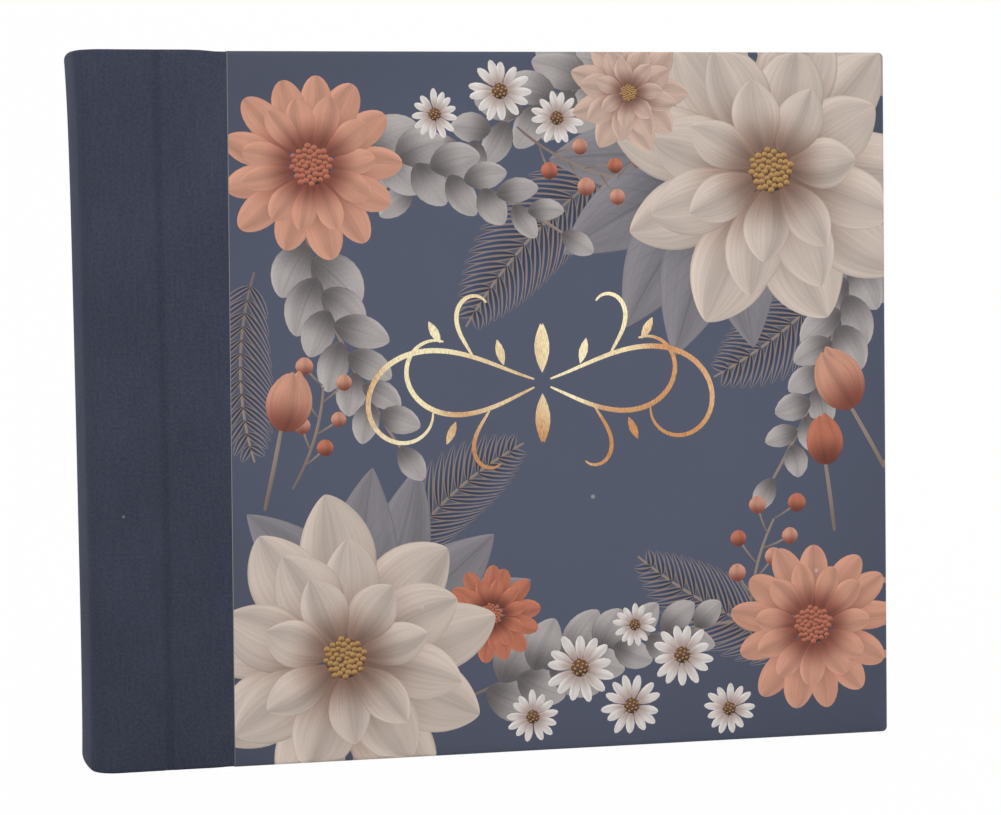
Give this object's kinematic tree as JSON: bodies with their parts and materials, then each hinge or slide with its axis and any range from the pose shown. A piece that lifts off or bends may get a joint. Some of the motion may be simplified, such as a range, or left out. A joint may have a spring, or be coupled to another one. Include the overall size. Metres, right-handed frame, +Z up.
{
  "type": "ring-bound address book",
  "caption": "Landscape ring-bound address book with a rounded navy cloth spine, floral paper-covered boards, index tabs and leaves on an opening ring mechanism.",
  "frame": {"origin": "middle of the closed book's footprint, on the surface it stands on", "axes": "+Z up along the spine, +X from the spine to the fore-edge, -Y out of the front cover"},
  "size_m": [0.1992, 0.04, 0.17],
  "materials": {
    "greyboard": "raw grey board",
    "cover_print": "matt printed paper, navy ground with a floral print",
    "bookcloth": "fine woven navy bookcloth",
    "endpaper": "cream laid paper",
    "leaf_paper": "cream writing paper with ruled lines",
    "index_card": "index card with tabs",
    "ring_steel": "nickel plated wire",
    "plate_steel": "nickel plated sheet steel"
  },
  "bodies": {
    "back_cover": {"back_board": "greyboard", "back_cover_paper": "cover_print", "back_hinge_cloth": "bookcloth", "back_endpaper": "endpaper", "ring_plate": "plate_steel", "rivets": "plate_steel", "rivet_washers": "plate_steel"},
    "spine": {"spine_card": "greyboard", "spine_cloth": "bookcloth", "spine_lining": "endpaper"},
    "front_cover": {"front_board": "greyboard", "front_cover_paper": "cover_print", "front_hinge_cloth": "bookcloth", "front_endpaper": "endpaper"},
    "fore_ring_half": {"fore_carrier": "plate_steel", "fore_ring_halves": "ring_steel"},
    "spine_ring_half": {"spine_carrier": "plate_steel", "spine_ring_halves": "ring_steel"},
    "upper_lever": {"upper_lever": "plate_steel"},
    "lower_lever": {"lower_lever": "plate_steel"},
    "section_ab": {"divider_ab": "index_card", "leaves_ab": "leaf_paper"},
    "section_cd": {"divider_cd": "index_card", "leaves_cd": "leaf_paper"},
    "section_ef": {"divider_ef": "index_card", "leaves_ef": "leaf_paper"},
    "section_gh": {"divider_gh": "index_card", "leaves_gh": "leaf_paper"},
    "section_ij": {"divider_ij": "index_card", "leaves_ij": "leaf_paper"},
    "section_kl": {"divider_kl": "index_card", "leaves_kl": "leaf_paper"},
    "section_mn": {"divider_mn": "index_card", "leaves_mn": "leaf_paper"},
    "section_op": {"divider_op": "index_card", "leaves_op": "leaf_paper"},
    "section_qr": {"divider_qr": "index_card", "leaves_qr": "leaf_paper"},
    "section_st": {"divider_st": "index_card", "leaves_st": "leaf_paper"},
    "section_uv": {"divider_uv": "index_card", "leaves_uv": "leaf_paper"},
    "section_wx": {"divider_wx": "index_card", "leaves_wx": "leaf_paper"},
    "section_yz": {"divider_yz": "index_card", "leaves_yz": "leaf_paper"}
  },
  "joints": [
    {"name": "spine_hinge", "type": "hinge", "parent": "back_cover", "child": "spine", "pos_m": [-0.08005, 0.02015, 0.085], "axis": [0, 0, -1], "range_deg": [0, 90]},
    {"name": "front_cover_hinge", "type": "hinge", "parent": "spine", "child": "front_cover", "pos_m": [-0.08005, -0.02015, 0.085], "axis": [0, 0, -1], "range_deg": [0, 170]},
    {"name": "ring_open", "type": "hinge", "parent": "back_cover", "child": "fore_ring_half", "pos_m": [-0.05395, 0.01545, 0.085], "axis": [0, 0, 1], "range_deg": [0, 8.5]},
    {"name": "spine_ring_open", "type": "hinge", "parent": "back_cover", "child": "spine_ring_half", "pos_m": [-0.07115, 0.01545, 0.085], "axis": [0, 0, -1], "range_deg": [0, 8.5]},
    {"name": "upper_lever_press", "type": "hinge", "parent": "back_cover", "child": "upper_lever", "pos_m": [-0.06255, 0.0153, 0.146], "axis": [-1, 0, 0], "range_deg": [0, 11.4]},
    {"name": "lower_lever_press", "type": "hinge", "parent": "back_cover", "child": "lower_lever", "pos_m": [-0.06255, 0.0153, 0.024], "axis": [1, 0, 0], "range_deg": [0, 11.4]},
    {"name": "ab_turn", "type": "hinge", "parent": "back_cover", "child": "section_ab", "pos_m": [-0.06255, 0.0012, 0.085], "axis": [0, 0, -1], "range_deg": [0, 104.05]},
    {"name": "cd_turn", "type": "hinge", "parent": "back_cover", "child": "section_cd", "pos_m": [-0.06255, 0.0012, 0.085], "axis": [0, 0, -1], "range_deg": [0, 96.05]},
    {"name": "ef_turn", "type": "hinge", "parent": "back_cover", "child": "section_ef", "pos_m": [-0.06255, 0.0012, 0.085], "axis": [0, 0, -1], "range_deg": [0, 88.05]},
    {"name": "gh_turn", "type": "hinge", "parent": "back_cover", "child": "section_gh", "pos_m": [-0.06255, 0.0012, 0.085], "axis": [0, 0, -1], "range_deg": [0, 80.05]},
    {"name": "ij_turn", "type": "hinge", "parent": "back_cover", "child": "section_ij", "pos_m": [-0.06255, 0.0012, 0.085], "axis": [0, 0, -1], "range_deg": [0, 72.05]},
    {"name": "kl_turn", "type": "hinge", "parent": "back_cover", "child": "section_kl", "pos_m": [-0.06255, 0.0012, 0.085], "axis": [0, 0, -1], "range_deg": [0, 64.05]},
    {"name": "mn_turn", "type": "hinge", "parent": "back_cover", "child": "section_mn", "pos_m": [-0.06255, 0.0012, 0.085], "axis": [0, 0, -1], "range_deg": [0, 56.05]},
    {"name": "op_turn", "type": "hinge", "parent": "back_cover", "child": "section_op", "pos_m": [-0.06255, 0.0012, 0.085], "axis": [0, 0, -1], "range_deg": [0, 48.05]},
    {"name": "qr_turn", "type": "hinge", "parent": "back_cover", "child": "section_qr", "pos_m": [-0.06255, 0.0012, 0.085], "axis": [0, 0, -1], "range_deg": [0, 40.05]},
    {"name": "st_turn", "type": "hinge", "parent": "back_cover", "child": "section_st", "pos_m": [-0.06255, 0.0012, 0.085], "axis": [0, 0, -1], "range_deg": [0, 32.05]},
    {"name": "uv_turn", "type": "hinge", "parent": "back_cover", "child": "section_uv", "pos_m": [-0.06255, 0.0012, 0.085], "axis": [0, 0, -1], "range_deg": [0, 24.05]},
    {"name": "wx_turn", "type": "hinge", "parent": "back_cover", "child": "section_wx", "pos_m": [-0.06255, 0.0012, 0.085], "axis": [0, 0, -1], "range_deg": [0, 16.05]},
    {"name": "yz_turn", "type": "hinge", "parent": "back_cover", "child": "section_yz", "pos_m": [-0.06255, 0.0012, 0.085], "axis": [0, 0, -1], "range_deg": [0, 8.05]}
  ],
  "couplings": [
    {"joint": "spine_ring_open", "follows": "ring_open", "ratio": 1},
    {"joint": "upper_lever_press", "follows": "ring_open", "ratio": 1.3333},
    {"joint": "lower_lever_press", "follows": "ring_open", "ratio": 1.3333},
    {"joint": "ab_turn", "follows": "spine_hinge", "ratio": 1.1556},
    {"joint": "cd_turn", "follows": "spine_hinge", "ratio": 1.0667},
    {"joint": "ef_turn", "follows": "spine_hinge", "ratio": 0.97778},
    {"joint": "gh_turn", "follows": "spine_hinge", "ratio": 0.88889},
    {"joint": "ij_turn", "follows": "spine_hinge", "ratio": 0.8},
    {"joint": "kl_turn", "follows": "spine_hinge", "ratio": 0.71111},
    {"joint": "mn_turn", "follows": "spine_hinge", "ratio": 0.62222},
    {"joint": "op_turn", "follows": "spine_hinge", "ratio": 0.53333},
    {"joint": "qr_turn", "follows": "spine_hinge", "ratio": 0.44444},
    {"joint": "st_turn", "follows": "spine_hinge", "ratio": 0.35556},
    {"joint": "uv_turn", "follows": "spine_hinge", "ratio": 0.26667},
    {"joint": "wx_turn", "follows": "spine_hinge", "ratio": 0.17778},
    {"joint": "yz_turn", "follows": "spine_hinge", "ratio": 0.088889}
  ]
}
